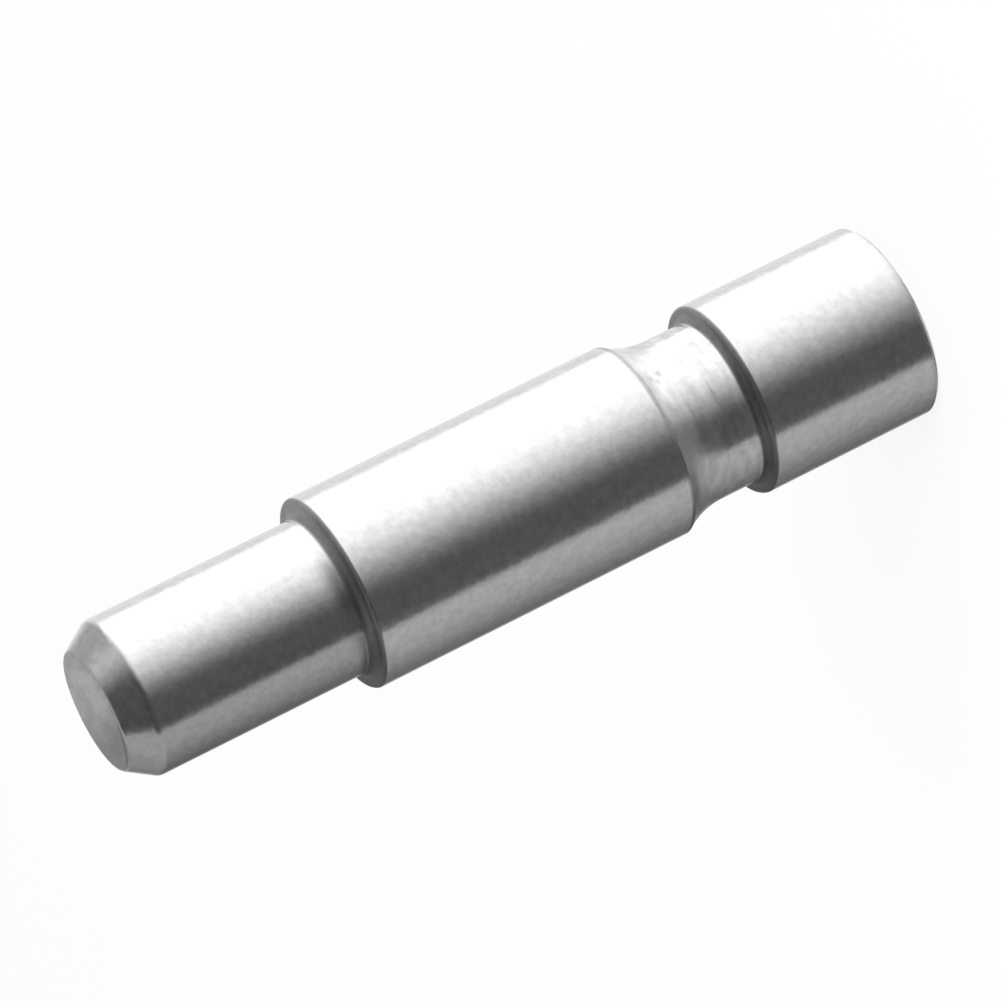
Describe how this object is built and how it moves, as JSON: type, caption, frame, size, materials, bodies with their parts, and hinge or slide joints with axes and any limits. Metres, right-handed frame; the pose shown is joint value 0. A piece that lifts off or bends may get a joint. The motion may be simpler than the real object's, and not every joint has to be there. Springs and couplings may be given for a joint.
{
  "type": "reel spool pin",
  "caption": "Turned steel pin that a reel's spool turns on, with a chamfered spigot, a smooth land, a retaining groove and a plain cylindrical head.",
  "frame": {"origin": "centre of the head's flat end face, which the pin stands on", "axes": "+Z along the pin's axis, from the head towards the nose"},
  "size_m": [0.008, 0.008, 0.0354],
  "materials": {
    "steel": "fine turned and polished, with matt tool marks on the groove's round flank and darker, duller shoulders"
  },
  "bodies": {
    "root": {"spool_pin": "steel"}
  },
  "joints": []
}
